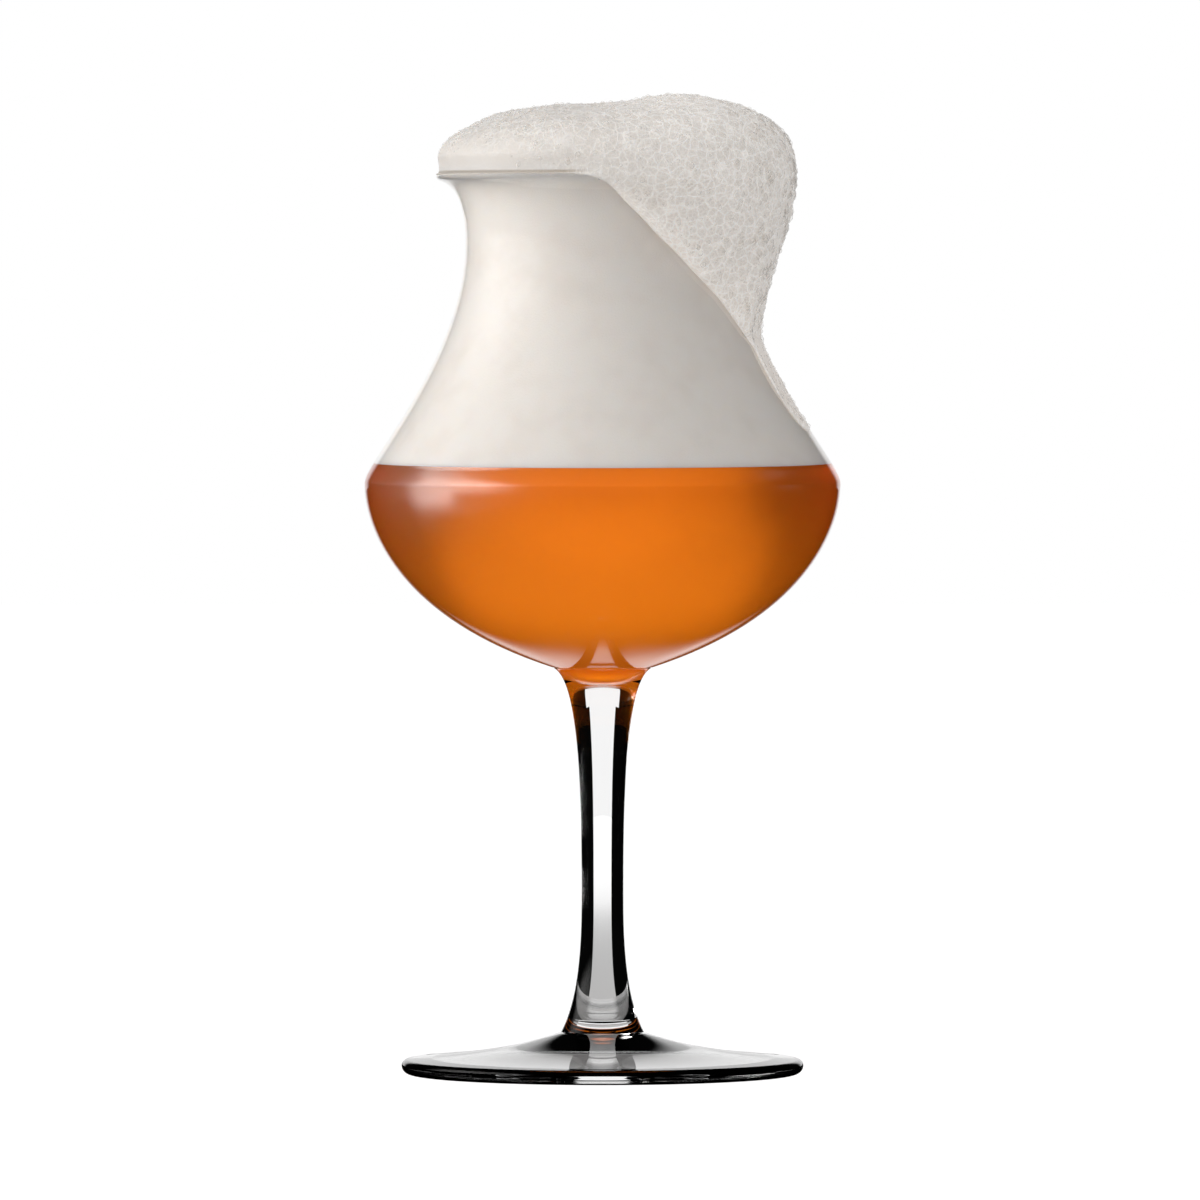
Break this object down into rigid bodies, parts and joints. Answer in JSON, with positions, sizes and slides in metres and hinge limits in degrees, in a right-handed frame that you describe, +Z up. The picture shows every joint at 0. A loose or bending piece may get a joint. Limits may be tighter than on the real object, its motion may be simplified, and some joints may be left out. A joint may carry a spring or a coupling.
{
  "type": "filled tulip beer glass",
  "caption": "Stemmed tulip glass with a flared lip and low bulge, full of hazy amber beer under a foam crown that has spilled down one side.",
  "frame": {"origin": "centre of the foot, on the surface that the glass stands on", "axes": "+Z up along the axis of the glass, +X towards the side where the foam has spilled, -Y towards the viewer of the picture"},
  "size_m": [0.0952, 0.0952, 0.1967],
  "materials": {
    "foot_glass": "clear polished glass",
    "stem_glass": "clear polished glass",
    "bowl_glass": "clear polished glass",
    "beer": "hazy amber liquid",
    "foam": "fine cream-white foam"
  },
  "bodies": {
    "root": {"foot": "foot_glass", "stem": "stem_glass", "bowl": "bowl_glass", "beer": "beer", "foam": "foam"}
  },
  "joints": []
}
